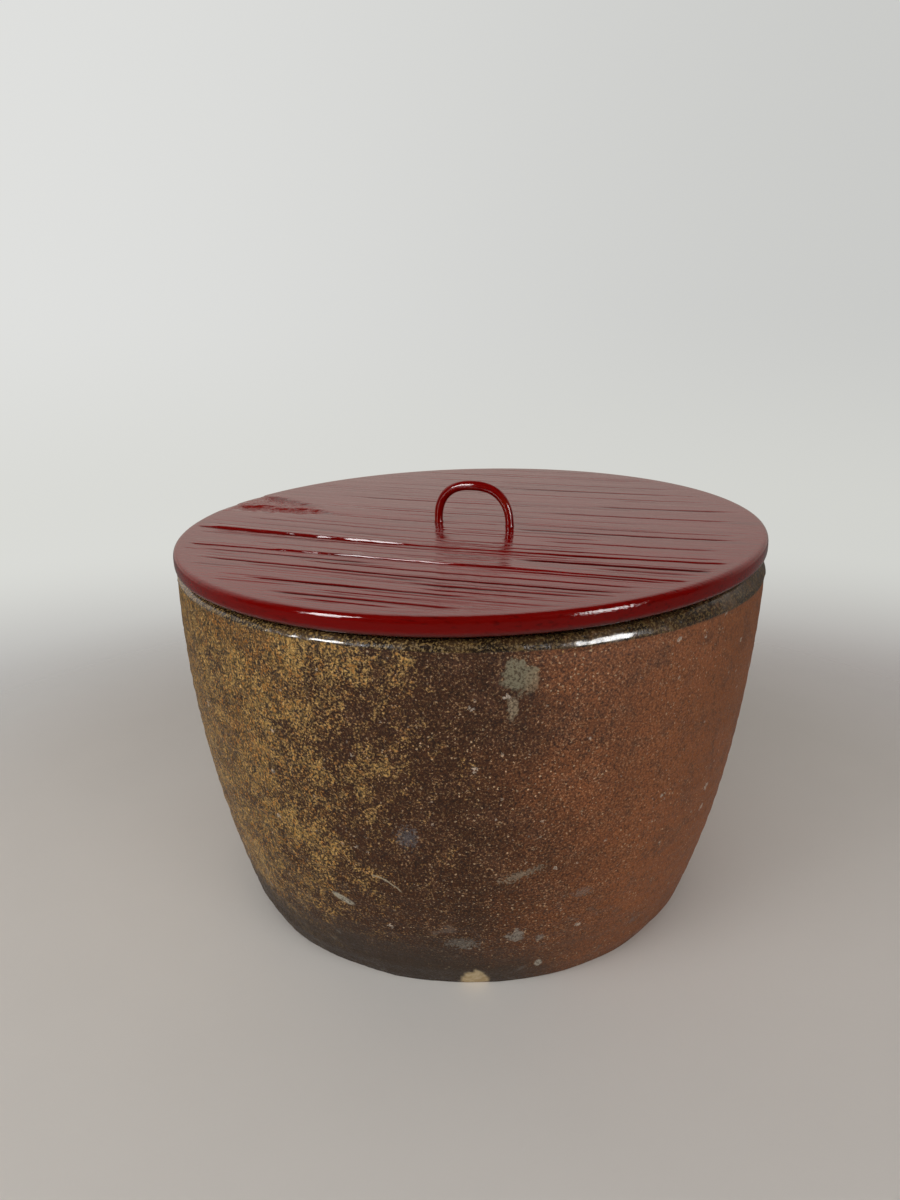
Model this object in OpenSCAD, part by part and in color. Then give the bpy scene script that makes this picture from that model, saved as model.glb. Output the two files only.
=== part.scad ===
// Lidded stoneware jar with a lacquered wooden lid and a bent loop handle.
// Origin: centre of the flat base, on the surface that the jar stands on. +Z is up.

/* [Jar] */
// Height from the base to the middle of the rim
jar_h = 140; // [120:1:165]
// Outer diameter at the mouth
mouth_d = 219; // [190:1:219]
// Diameter at which the curve of the wall starts, before the heel is rounded off
base_d = 174; // [150:1:185]
// Power of the wall's curve: a higher value bulges more below the mouth
wall_power = 1.8; // [1.4:0.1:2.4]
// Thickness of the thrown wall
wall_t = 8; // [6:0.5:10]
// Thickness of the floor
floor_t = 11; // [8:1:16]
// Radius of the rounded heel
heel_r = 11; // [8:1:14]
// Slope of the rim in degrees, higher on the +X side
rim_slope = 1.65; // [0.5:0.05:2]

/* [Lip] */
// Height of the rolled lip
lip_h = 7; // [6:0.5:9]
// Radius of the lip's outer round
lip_outer_r = 5; // [4:0.5:5]
// Radius of the lip's inner round
lip_inner_r = 2; // [1:0.5:2]
// How far the lip stands proud of the wall on each side
lip_proud = 0.3; // [0.2:0.1:0.5]

/* [Lid] */
// Diameter of the lid
lid_d = 220; // [220:1:224]
// Thickness of the lid at its round edge
lid_t = 6.5; // [6:0.5:9]
// Depth of the step under the lid that drops into the mouth
step_t = 3; // [2:0.5:5]
// Gap all round between the step and the inside of the mouth
step_gap = 2; // [1.5:0.5:3]

/* [Handle] */
// Angle that the handle is turned from the X axis
handle_turn = -23; // [-90:1:90]
// How far the handle's middle is off the lid's middle, along X
handle_x = 2; // [-5:0.1:5]
// How far the handle's middle is off the lid's middle, along Y
handle_y = -2.3; // [-5:0.1:5]
// Distance between the centres of the handle's two legs
loop_w = 29; // [26:1:40]
// Height of the handle above the lid
loop_h = 16.7; // [16:0.1:20]
// Radius of the handle's two bends, along the middle of the rod
bend_r = 12; // [10:0.5:13]
// Diameter of the bent rod
rod_d = 3.2; // [2.6:0.2:4]
// Depth of the holes that hold the legs
hole_depth = 5.5; // [4:0.5:6]
// Extra diameter of the holes over the legs
hole_play = 0.1; // [0.06:0.02:0.2]

/* [Hidden] */
$fn = 96;

mouth_r = mouth_d / 2;
base_r = base_d / 2;
lid_r = lid_d / 2;
step_r = mouth_r - wall_t - lip_proud - step_gap;
step_round = 1;
inner_corner_r = 16;
rim_clearance = 0.2;
wall_rise = 6;
curve_steps = 22;
arc_steps = 8;
cutter = 2 * lid_d;

// Points on an arc about [x, y], from angle a0 to angle a1
function arc(x, y, r, a0, a1) =
    [for (i = [0:arc_steps]) let (a = a0 + (a1 - a0) * i / arc_steps)
        [x + r * cos(a), y + r * sin(a)]];

// Outer radius of the wall at height z, before the heel is rounded off
function wall_r(z) =
    let (left = max(0, 1 - z / jar_h))
    base_r + (mouth_r - base_r) * (1 - pow(left, wall_power));

// The outer wall from the top of the heel up, past the middle of the rim
outer_wall = [for (i = [0:curve_steps])
    let (z = heel_r + (jar_h + wall_rise - heel_r) * i / curve_steps)
        [wall_r(z), z]];

// The inner wall from above the rim down to the corner at the floor
inner_low = floor_t + inner_corner_r;
inner_wall = [for (i = [curve_steps:-1:0])
    let (z = inner_low + (jar_h + wall_rise - inner_low) * i / curve_steps)
        [wall_r(z) - wall_t, z]];

heel_arc = arc(wall_r(heel_r) - heel_r, heel_r, heel_r, -90, 0);
inner_arc = arc(wall_r(inner_low) - wall_t - inner_corner_r, inner_low, inner_corner_r, 0, -90);

// Carries its children onto the sloping rim, where z = 0 is the top of the lip
module on_rim() {
    translate([0, 0, jar_h]) rotate([0, -rim_slope, 0]) children();
}

// Carries its children onto the lid, where z = 0 is its underside
module on_lid() {
    on_rim() translate([0, 0, rim_clearance]) children();
}

// Carries its children onto the lid, moved and turned with the handle
module on_handle() {
    on_lid() translate([handle_x, handle_y, 0]) rotate([0, 0, handle_turn]) children();
}

module thrown_wall() {
    rotate_extrude()
        polygon(concat([[0, 0]], heel_arc, outer_wall, inner_wall, inner_arc, [[0, floor_t]]));
}

module rolled_lip() {
    outside = mouth_r + lip_proud;
    inside = mouth_r - wall_t - lip_proud;
    rotate_extrude()
        polygon(concat(
            [[inside, -lip_h], [outside, -lip_h]],
            arc(outside - lip_outer_r, -lip_outer_r, lip_outer_r, 0, 90),
            arc(inside + lip_inner_r, -lip_inner_r, lip_inner_r, 90, 180)));
}

module jar() {
    color([0.30, 0.19, 0.14]) {
        difference() {
            thrown_wall();
            on_rim() translate([-cutter / 2, -cutter / 2, -lip_h + 1]) cube(cutter);
        }
        on_rim() rolled_lip();
    }
}

module leg_holes() {
    for (side = [-1, 1])
        translate([side * loop_w / 2, 0, lid_t - hole_depth])
            cylinder(d = rod_d + hole_play, h = hole_depth + 1);
}

module turned_board() {
    edge_r = lid_t / 2;
    rotate_extrude($fn = 180)
        polygon(concat(
            [[0, -step_t]],
            arc(step_r - step_round, -step_t + step_round, step_round, -90, 0),
            [[step_r, 0]],
            arc(lid_r - edge_r, edge_r, edge_r, -90, 90),
            [[0, lid_t]]));
}

module lid_board() {
    color([0.36, 0.05, 0.04])
        difference() {
            on_lid() turned_board();
            on_handle() leg_holes();
        }
}

module loop_handle() {
    bend_z = lid_t + loop_h - rod_d / 2 - bend_r;
    leg_bottom = lid_t - hole_depth;
    flat_w = loop_w - 2 * bend_r;
    color([0.42, 0.06, 0.03])
        on_handle() {
            for (side = [0, 1])
                mirror([side, 0, 0]) {
                    translate([flat_w / 2, 0, bend_z]) rotate([90, 0, 0])
                        rotate_extrude(angle = 90)
                            translate([bend_r, 0]) circle(d = rod_d, $fn = 32);
                    translate([loop_w / 2, 0, leg_bottom])
                        cylinder(d = rod_d, h = bend_z - leg_bottom, $fn = 32);
                }
            translate([-flat_w / 2, 0, bend_z + bend_r]) rotate([0, 90, 0])
                cylinder(d = rod_d, h = flat_w, $fn = 32);
        }
}

jar();
lid_board();
loop_handle();
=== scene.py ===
"""A wood-fired stoneware water jar with a red lacquered wooden lid, built around its fixed frame."""

import functools
import math
from types import SimpleNamespace

import bpy
import numpy as np
from mathutils import Matrix, Vector, noise


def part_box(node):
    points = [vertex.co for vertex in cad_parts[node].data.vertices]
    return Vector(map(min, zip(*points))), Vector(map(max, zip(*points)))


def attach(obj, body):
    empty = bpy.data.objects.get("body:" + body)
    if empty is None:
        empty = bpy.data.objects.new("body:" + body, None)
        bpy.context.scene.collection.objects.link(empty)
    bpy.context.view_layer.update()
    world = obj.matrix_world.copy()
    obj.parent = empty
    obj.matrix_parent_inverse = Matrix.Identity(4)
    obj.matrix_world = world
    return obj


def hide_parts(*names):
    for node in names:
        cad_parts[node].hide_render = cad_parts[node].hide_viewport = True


bl_info = {
    "name": "Lidded Water Jar",
    "version": (1, 0, 0),
    "blender": (4, 5, 0),
    "location": "3D View > Sidebar > Water Jar",
    "description": "Builds a wood-fired stoneware jar, its lacquered wooden lid and the lid's loop handle",
    "category": "Object",
}

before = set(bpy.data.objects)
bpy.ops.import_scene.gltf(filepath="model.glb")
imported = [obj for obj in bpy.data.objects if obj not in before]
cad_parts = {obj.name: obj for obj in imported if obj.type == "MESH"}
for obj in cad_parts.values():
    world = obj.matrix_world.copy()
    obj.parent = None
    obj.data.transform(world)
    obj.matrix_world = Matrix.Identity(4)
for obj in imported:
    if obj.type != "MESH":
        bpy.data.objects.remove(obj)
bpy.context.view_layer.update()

MM = 0.001
JAR_LOW, JAR_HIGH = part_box("jar")
LID_LOW, LID_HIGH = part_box("lid_board")

# The jar and lid as the frame has them: a thrown wall under a rim that slopes up towards +X.
RIM_SLOPE = math.radians(1.65)
LID_R = (LID_HIGH.x - LID_LOW.x) / 2 / math.cos(RIM_SLOPE)
RIM_Z = (JAR_HIGH.z + JAR_LOW.z) / 2 + JAR_HIGH.z / 2 - 105 * MM * math.sin(RIM_SLOPE)
MOUTH_R = LID_R - 0.5 * MM
BASE_R = 87 * MM
WALL_POWER = 1.8
WALL_T = 8 * MM
FLOOR_T = 11 * MM
INNER_CORNER_R = 16 * MM
LID_T = 6.5 * MM
LID_STEP_T = 3 * MM
LID_STEP_R = MOUTH_R - WALL_T - 2.3 * MM
LID_REST = 0.2 * MM
HANDLE_TURN = math.radians(-23)
GRAIN_TURN = math.radians(-22)
HANDLE_MIDDLE = (2.0 * MM, -2.3 * MM)
# The foot is sharper than the frame's plain round heel, inside the same box
HEEL_H = 11 * MM
FOOT_R = 84.3 * MM
# Roughly how far a point on the wall moves for each radian round the jar
PER_RADIAN = 100 * MM


# ---------------------------------------------------------------- what a user would change


def length(name, millimetres, description):
    """A length that a user can change."""
    return bpy.props.FloatProperty(
        name=name, description=description, default=millimetres * MM, unit="LENGTH", precision=5,
    )


def colour_of(name, colour, description):
    """A colour that a user can change."""
    return bpy.props.FloatVectorProperty(
        name=name, description=description, default=colour, subtype="COLOR", size=3,
    )


def angle_of(name, degrees, description):
    """An angle that a user can change."""
    return bpy.props.FloatProperty(
        name=name, description=description, default=math.radians(degrees), subtype="ANGLE",
    )


def number(name, value, low, description):
    """A number that a user can change, and its least value."""
    return bpy.props.FloatProperty(name=name, description=description, default=value, min=low)


class JarSettings(bpy.types.PropertyGroup):
    """Sizes and colours of the jar"""

    ripple: length("Throwing lines", 0.1, "Depth of the lines that the potter's fingers left")
    wobble: length("Wobble", 0.45, "How far the wall wanders from a true circle")
    ridge_z: length("Ridge height", 137.2, "Height of the ridge where the wall turns over into the lip")
    rim_dip: length("Rim dip", 0.9, "How far the rim sinks away from the lid at the front")
    pared_w: length("Pared depth", 4.5, "How far the potter's knife took the wall in at the front")
    chip_w: length("Chip width", 10.6, "Width of the chip at the front of the base")
    dark_clay: colour_of("Dark clay", (0.060, 0.020, 0.0055), "Clay that the fire turned dark brown")
    red_clay: colour_of("Red clay", (0.30, 0.096, 0.030), "Iron-red clay on the side away from the fire")
    gold_ash: colour_of("Gold ash", (0.42, 0.25, 0.070), "Melted fly ash at its lightest")
    brown_ash: colour_of("Brown ash", (0.15, 0.074, 0.018), "Thin fly ash with the clay's iron in it")
    base_clay: colour_of("Base clay", (0.050, 0.034, 0.023), "Grey-brown clay near the base")


class LidSettings(bpy.types.PropertyGroup):
    """Sizes and colours of the lid"""

    groove_depth: length("Groove depth", 0.36, "Depth of the soft grain brushed out between the hard lines")
    ledge_h: length("Ledge height", 0.75, "Height of the two ledges where hard grain stands proud")
    border_w: length("Border width", 4.6, "Width of the smooth band between the grain and the edge")
    hollow_depth: length("Hollow depth", 0.9, "Depth of the hollow around the knot, at the edge of the lid")
    lacquer: colour_of("Lacquer", (0.20, 0.0012, 0.0005), "Colour of the red lacquer")
    lacquer_deep: colour_of(
        "Deep lacquer", (0.055, 0.0006, 0.0004), "Colour where the lacquer lies thick in the grain",
    )


class HandleSettings(bpy.types.PropertyGroup):
    """Sizes of the loop handle"""

    leg_gap: length("Leg gap", 29, "Distance between the middles of the two legs")
    leg_d: length("Leg diameter", 3.15, "Diameter of the rod where it meets the lid")
    top_d: length("Top diameter", 3.75, "Diameter of the rod at the top of the loop")
    squareness: number("Squareness", 2.45, 2, "2 for a half circle, more for square shoulders")


class StageSettings(bpy.types.PropertyGroup):
    """Floor, lights and camera"""

    floor: colour_of("Floor", (0.74, 0.705, 0.66), "Colour of the floor")
    key: number("Key lamp", 11.6, 0, "Power of the wide lamp above the front")
    side: number("Side lamp", 1.6, 0, "Power of the soft lamp at the front left")
    fill: number("Fill lamp", 0.6, 0, "Power of the soft lamp at the front right")
    gleam_left: number("Left gleam", 8.3, 0, "Power of the lamp that only gloss shows, at the left")
    gleam_right: number("Right gleam", 6.5, 0, "Power of the lamp that only gloss shows, at the right")
    camera_back: length("Camera distance", 372.8, "How far the camera is in front of the jar's middle")
    camera_up: length("Camera height", 238.7, "Height of the camera above the floor")
    camera_side: length("Camera offset", -7.3, "How far the camera is to the right of the jar's middle")
    camera_pitch: angle_of("Camera pitch", 18.29, "How far the camera looks down")
    camera_roll: angle_of("Camera roll", -0.217, "How far the camera is turned about its own axis")
    camera_lens: number("Lens", 30.0, 10, "Focal length in millimetres on a sensor 36 mm wide")


# ---------------------------------------------------------------- numbers and meshes


def smooth(x, low, high):
    """0 below low, 1 above high, with soft ends; low may be above high."""
    t = np.clip((np.asarray(x, float) - low) / (high - low), 0, 1)
    return t * t * (3 - 2 * t)


def bump(x, middle, half_width):
    """A soft hump of height 1 about middle."""
    return np.exp(-(((np.asarray(x, float) - middle) / half_width) ** 2))


def field(points, scale, shift=0.0):
    """Smooth noise from about -1 to 1 at each point, whose lumps are about scale across."""
    moved = points.reshape(-1, 3) / scale + shift
    values = [noise.noise(Vector(p)) for p in moved]
    return np.array(values).reshape(points.shape[:-1]) * 1.6


def grid_mesh(name, points, wrap, attributes=None, caps=()):
    """A mesh from a grid of points: rows by columns by 3. wrap joins the last column to the first.
    caps are pairs of a row and a point: the row is closed with a fan of triangles to the point."""
    rows, columns = points.shape[:2]
    index = np.arange(rows * columns).reshape(rows, columns)
    right = np.roll(index, -1, axis=1) if wrap else index[:, 1:]
    left = index if wrap else index[:, :-1]
    quads = np.stack([left[:-1], right[:-1], right[1:], left[1:]], axis=-1).reshape(-1, 4)
    faces = quads.tolist()
    vertices = points.reshape(-1, 3).tolist()
    for row, tip in caps:
        centre = len(vertices)
        vertices.append(list(tip))
        loop = index[row].tolist()
        pairs = zip(loop, loop[1:] + loop[:1])
        faces += [[b, a, centre] if row == 0 else [a, b, centre] for a, b in pairs]
    mesh = bpy.data.meshes.new(name)
    mesh.from_pydata(vertices, [], faces)
    for key, values in (attributes or {}).items():
        layer = mesh.attributes.new(key, "FLOAT", "POINT")
        flat = np.concatenate([values.reshape(-1), np.full(len(caps), values.reshape(-1)[0])])
        for k, (row, _) in enumerate(caps):
            flat[rows * columns + k] = values[row].mean()
        layer.data.foreach_set("value", flat.astype(np.float32))
    mesh.shade_smooth()
    return mesh


def place(name, mesh, body, material, node):
    """Puts a finished mesh in the scene as the piece that stands for one node of the frame."""
    piece = bpy.data.objects.new(name, mesh)
    bpy.context.scene.collection.objects.link(piece)
    mesh.materials.append(material)
    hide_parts(node)
    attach(piece, body)
    return piece


def to_rim(points, turn=0.0, lift=0.0, middle=(0.0, 0.0)):
    """Carries points from a flat disc at z = 0 onto the sloping rim, turned about z and lifted."""
    spin = Matrix.Rotation(turn, 4, "Z")
    tilt = Matrix.Rotation(-RIM_SLOPE, 4, "Y")
    shift = Matrix.Translation((middle[0], middle[1], lift))
    whole = np.array(Matrix.Translation((0, 0, RIM_Z)) @ tilt @ shift @ spin)
    return points @ whole[:3, :3].T + whole[:3, 3]


def ring_angles(count):
    """Angles about the jar, from the front (-Y) round by +X."""
    return np.arange(count) * 2 * math.pi / count


def round_the_jar(radius, height, angle):
    """Points from arrays of radius, height and angle about the jar."""
    return np.stack([radius * np.sin(angle), -radius * np.cos(angle), height], axis=-1)


# ---------------------------------------------------------------- jar


def wall_radius(z):
    """The wall's outer radius at height z."""
    left = np.clip(1 - z / RIM_Z, 0, 1)
    return BASE_R + (MOUTH_R - BASE_R) * (1 - left**WALL_POWER) + 0.6 * MM * np.sin(math.pi * left)


def jar_rings(angle, s):
    """The jar's rows, from the middle of the underside to the middle of the inner floor: the radius and
    height of each point, and how much it is inside, lip and underside."""
    one = np.ones_like(angle)
    rim = RIM_Z + MOUTH_R * np.sin(angle) * math.tan(RIM_SLOPE)
    crest = rim - s.rim_dip * bump(np.arctan2(np.sin(angle - 0.1), np.cos(angle - 0.1)), 0, 0.75)
    ridge = np.minimum(np.full_like(rim, s.ridge_z), crest - 0.9 * MM)
    rows = []

    def add(radius, height, inside=0.0, lip=0.0, under=0.0):
        rows.append((radius * one, height * one, inside * one, lip * one, under * one))

    hollow = 0.9 * MM
    for t in np.linspace(0.06, 1, 12):
        add(FOOT_R * 0.92 * t, hollow * (1 - smooth(t, 0.9, 1.0) * 0.85), under=1.0)
    add(FOOT_R * 0.94, 0.05 * MM, under=1.0)
    # A small round at the foot's edge, and a short curve up to the wall
    foot_round = 0.7 * MM
    for t in np.linspace(0, 1, 5):
        turn = t * math.pi / 2
        radius = FOOT_R - foot_round * (1 - math.sin(turn))
        add(radius, foot_round * (1 - math.cos(turn)), under=1.0 if t < 0.3 else 0.0)
    heel_w = wall_radius(HEEL_H) - FOOT_R
    for t in np.linspace(0, 1, 15)[1:-1]:
        add(FOOT_R + heel_w * (1 - (1 - t) ** 1.35), foot_round + (HEEL_H - foot_round) * t)
    for t in np.linspace(0, 1, 98):
        z = HEEL_H + (ridge - 1.6 * MM - HEEL_H) * t
        add(wall_radius(z), z)
    # Over the ridge, up the slope to the crest, and down inside the mouth
    mouth_in = MOUTH_R - WALL_T - 0.2 * MM
    crest_r = MOUTH_R - 4.6 * MM
    ridge_r = wall_radius(ridge) + 0.1 * MM
    for t in np.linspace(0.08, 1, 16):
        turn = t * math.pi / 2
        out = math.cos(turn) ** 0.9
        up = math.sin(turn) ** 1.1
        radius = crest_r + (ridge_r - crest_r) * out
        add(radius, ridge - 1.6 * MM + (crest - ridge + 1.6 * MM) * up, lip=1.0)
    for t in np.linspace(0.15, 1, 8):
        turn = t * math.pi / 2
        radius = crest_r - (crest_r - mouth_in) * math.sin(turn)
        add(radius, crest - 3.2 * MM * (1 - math.cos(turn)), inside=t, lip=1 - 0.5 * t)
    low = FLOOR_T + INNER_CORNER_R
    for t in np.linspace(0.04, 1, 30):
        z = crest - 3.2 * MM + (low - crest + 3.2 * MM) * t
        blend = smooth(t, 0.0, 0.12)
        radius = mouth_in * (1 - blend) + (wall_radius(z) - WALL_T) * blend
        add(radius, z, inside=1.0)
    corner = wall_radius(low) - WALL_T - INNER_CORNER_R
    for t in np.linspace(0.1, 1, 9):
        turn = t * math.pi / 2
        radius = corner + INNER_CORNER_R * math.cos(turn)
        add(radius, low - INNER_CORNER_R * math.sin(turn), inside=1.0)
    for t in np.linspace(0.94, 0.04, 14):
        add(corner * t, FLOOR_T + 0.25 * MM * math.cos(t * 9), inside=1.0)
    return [np.stack([row[k] for row in rows]) for k in range(5)]


def heel_chip(points, s):
    """How much each point is in the chip at the front of the base."""
    x = points[..., 0] - 1.0 * MM
    z = points[..., 2]
    ragged = 1 + 0.08 * np.sin(x / MM * 1.3) + 0.04 * np.sin(x / MM * 3.1 + 1)
    height = 8.6 * MM * ragged
    shape = (2 * x / s.chip_w) ** 2 + (z / height) ** 2
    return smooth(shape, 1.15, 0.75) * (points[..., 1] < 0)


def build_jar(material):
    s = bpy.context.scene.jar_settings
    angle = ring_angles(480)
    radius, height, inside, lip, under = jar_rings(angle, s)
    angles = np.broadcast_to(angle, radius.shape)
    points = round_the_jar(radius, height, angles)
    outside = (1 - inside) * (1 - under)
    # Low wobble of the whole wall, throwing lines in a slow spiral, and an uneven, pared heel
    wobble = s.wobble * field(points, 75 * MM, 3.1) * smooth(radius, 30 * MM, 75 * MM)
    spiral = height / MM + 6.5 * angles / (2 * math.pi)
    lines = np.sin(spiral * 2 * math.pi / 6.5 + 1.2 * field(points, 40 * MM, 8.0))
    ripple = s.ripple * lines * (0.4 + 0.6 * smooth(height, 120 * MM, 60 * MM))
    ripple = ripple * (1 + 1.6 * inside)
    pared = -0.5 * MM * bump(angles, math.radians(33), 0.42) * smooth(height, 24 * MM, 4 * MM)
    front = bump(np.arctan2(np.sin(angles), np.cos(angles)), 0, 0.85)
    deepest = 0.75 + 0.25 * bump(height, 11 * MM, 9 * MM)
    pared = pared - s.pared_w * front * deepest * smooth(height, 52 * MM, 10 * MM)
    pared = pared + 0.5 * MM * field(points * [1, 1, 0.3], 22 * MM, 5.5) * smooth(height, 16 * MM, 2 * MM)
    crust = 0.09 * MM * field(points, 5 * MM, 1.7) + 0.06 * MM * field(points, 2.2 * MM, 9.2)
    ash_side = smooth(np.cos(angles + math.radians(70)), 0.2, 0.7)
    crust = crust * (0.5 + 1.2 * ash_side) * (1 - 0.6 * inside)
    lip_wave = lip * (0.16 * MM * field(points, 9 * MM, 4.4) + 0.12 * MM * field(points, 3 * MM, 6.1))
    groove_at = s.ridge_z - 3.0 * MM + 0.5 * MM * np.sin(2 * angles)
    groove = -0.22 * MM * bump(height, groove_at, 0.55 * MM) * outside
    groove = groove * (0.35 + 0.65 * smooth(np.sin(angles), -0.2, 0.7)) * (lip < 0.5)
    chip = heel_chip(points, s) * outside
    move = wobble + ripple + crust + lip_wave + groove
    move = move * (1 - under) + pared * (1 - inside) * smooth(radius, 60 * MM, 80 * MM) - chip * 0.5 * MM
    radius = radius + np.where(inside > 0.5, -1, 1) * move
    height = height + lip * 0.22 * MM * field(points, 14 * MM, 7.7)
    height = np.maximum(height, 0.0)
    floor_dent = 0.12 * MM * field(points, 12 * MM, 2.2)
    height = np.where(under > 0.5, np.clip(height + floor_dent, 0, 1.2 * MM), height)
    points = round_the_jar(radius, height, angles)
    attributes = {"inside": inside, "lip": lip, "under": under, "chip": chip}
    low = points[0, :, 2].mean()
    high = points[-1, :, 2].mean()
    mesh = grid_mesh("jar", points[:, ::-1], True, {k: v[:, ::-1] for k, v in attributes.items()},
                     caps=((0, (0, 0, low)), (-1, (0, 0, high))))
    return place("stoneware_jar", mesh, "jar", material, "jar")


# ---------------------------------------------------------------- lid


# The run of the grain in millimetres: its distance from the lid's middle line
# at the left end, at the middle and at the right end
GRAIN_RUN = (
    (-103.3, -103.3, -103.3), (-90, -87, -82), (-67, -71, -68), (-54, -54.5, -52), (-30, -35.5, -29),
    (-6, -10, -5), (18, 15, 19), (48, 45, 50), (80, 79, 82), (103.3, 103.3, 103.3),
)
# Lines of the grain that show most: distance from the middle line, start, end, half width, and depth as a
# share of the groove depth
MAIN_LINES = (
    (-71.0, -78, 78, 0.55, 1.1), (-77.5, 5, 72, 0.5, 0.9), (-44.0, 30, 104, 0.8, 1.4),
    (-48.5, 56, 100, 0.5, 0.9), (-74.0, -58, 20, 0.45, 0.8), (-86.0, -50, 40, 0.55, 1.0),
    (-97.0, -33, 40, 0.6, 1.2), (-92.0, -20, 45, 0.35, 0.7), (-31.5, 5, 104, 0.45, 0.8),
    (-26.0, -60, 60, 0.4, 0.6), (-14.5, -10, 60, 0.35, 0.6), (-5.5, 14, 104, 0.6, 1.3),
    (1.5, 12, 104, 0.4, 0.7), (12.0, -50, 70, 0.35, 0.6), (22.0, 20, 102, 0.45, 0.8),
    (31.0, -80, 30, 0.4, 0.6), (37.0, 35, 98, 0.6, 1.3), (52.0, -70, 85, 0.4, 0.6),
    (63.0, -20, 84, 0.45, 0.7), (75.0, -60, 72, 0.4, 0.6), (88.0, -50, 52, 0.4, 0.6),
    (-60.5, -85, -5, 0.5, 1.0), (-64.5, -40, 84, 0.4, 0.8), (-82.0, 10, 60, 0.4, 0.8),
    (-39.5, -96, 60, 0.35, 0.7), (-20.0, 30, 100, 0.35, 0.8), (-101.0, -20, 22, 0.4, 0.8),
    (-57.5, 20, 92, 0.4, 0.9),
)
# Ledges that catch the light: distance from the middle line, start and end of the tall stretch, and share
# of the height
LEDGES = ((-35.5, -91, -28, 1.0), (-54.5, -50, 30, 0.6))
# Steps down into the hollow round the knot: distance from the middle line, and share of the hollow's depth
HOLLOW_STEPS = ((20.5, 0.8), (3.5, 0.9))
# Where rows of the mesh lie about a ledge
LEDGE_ROWS = (-0.9, -0.5, -0.22, -0.15, -0.08, 0.08, 0.15, 0.22, 0.6, 1.5, 3)


def grain_lines(s):
    """Every groove as rows of: place, start, end, half width, depth."""
    picks = np.random.RandomState(41)
    lines = [list(line) for line in MAIN_LINES]
    across = -103.0
    while across < 103:
        length = picks.uniform(25, 150)
        middle = picks.uniform(-70, 70)
        width = picks.uniform(0.25, 0.5)
        depth = picks.uniform(0.15, 0.75) ** 1.3
        lines.append([across, middle - length / 2, middle + length / 2, width, depth])
        across += picks.uniform(0.8, 2.9) if across > -30 else picks.uniform(0.6, 2.0)
    table = np.array(lines)
    # The grain is deepest towards the front and fades towards the back
    table[:, 4] *= s.groove_depth * (1.05 - 0.42 * smooth(table[:, 0], -45, 20))
    table[:, :4] *= MM
    return table


def grain_run(along, across):
    """Where the grain that starts at across lies at each place along it."""
    run = np.array(GRAIN_RUN) * MM
    side = np.clip(along / LID_R, -1, 1)
    left = np.interp(across, run[:, 1], run[:, 0] - run[:, 1])
    right = np.interp(across, run[:, 1], run[:, 2] - run[:, 1])
    bend = np.where(side < 0, left, right) * side**2
    wander = 0.35 * np.sin(along / MM / 17 + across / MM / 30)
    wander = wander + 0.11 * np.sin(along / MM / 2.2 + across / MM / 7)
    return across + bend + wander * MM * (1 - (across / LID_R) ** 2)


def hollow_mask(x, across):
    """The flame-shaped hollow that runs in from the edge to a knot."""
    along = (x + 108 * MM) / (48 * MM)
    middle = (8.5 - 9.5 * along) * MM
    half = 16 * MM * np.clip(1 - along, 0, 1) ** 0.75 + 1.0 * MM
    off = np.abs(across - middle) / half
    ragged = 0.12 * np.sin(across / MM * 0.9 + 0.3 * x / MM) + 0.08 * np.sin(x / MM * 0.9)
    return smooth(off + ragged, 1.1, 0.75) * smooth(along, 1.06, 0.8)


def lid_height(x, across, y, s):
    """Height of the lid's upper face above the flat top, before the round edge."""
    r = np.hypot(x, y)
    points = np.stack([x, across, 0 * x], axis=-1)
    ends = field(points * [0.25, 1, 1], 5 * MM, 12.5)
    grain = smooth(r + ends * 1.5 * MM, LID_R - s.border_w, LID_R - s.border_w - 2.5 * MM)
    height = 0.10 * MM * field(points * [0.3, 1, 1], 26 * MM, 5.0)
    height += 0.05 * MM * field(points * [0.1, 1, 1], 2.6 * MM, 7.5)
    for line, start, end, width, depth in grain_lines(s):
        taper = smooth(x, start, start + 14 * MM) * smooth(x, end, end - 14 * MM)
        height -= depth * taper * bump(across, line, width)
    for line, start, end, tall in LEDGES:
        off = across - line * MM
        strong = smooth(x, (start - 6) * MM, start * MM) * smooth(x, (end + 30) * MM, end * MM)
        broken = 0.93 + 0.07 * np.sin(x / MM * 0.8 + np.sin(x / MM * 0.27) * 3)
        rise = np.clip(off / (0.3 * MM) + 0.5, 0, 1) * smooth(off, 7 * MM, 0.3 * MM)
        height += s.ledge_h * tall * rise * (0.2 + 0.8 * strong * broken)
        height -= 0.8 * s.groove_depth * bump(off, -0.5 * MM, 0.35 * MM)
    height *= grain
    hollow = hollow_mask(x, across)
    # The hollow falls in two steps that face the front, and rises slowly behind each
    steps = 0.35 * MM * smooth(across, 27 * MM, 24 * MM)
    for line, drop in HOLLOW_STEPS:
        wave = (1.3 * np.sin(x / MM / 3.1 + line) + 0.6 * np.sin(x / MM / 1.3)) * MM
        off = across - line * MM + wave
        fall = smooth(off, 0.8 * MM, -0.8 * MM) * smooth(off, -13 * MM, -2 * MM)
        steps = steps + drop * s.hollow_depth * fall
    rough = 0.14 * MM * field(points * [0.4, 1, 1], 2.4 * MM, 3.9)
    from_edge = 0.25 + 0.75 * smooth(r, LID_R - 3 * MM, LID_R - 9 * MM)
    height -= hollow * from_edge * (steps + rough)
    return np.minimum(height, 0.8 * MM)


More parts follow.
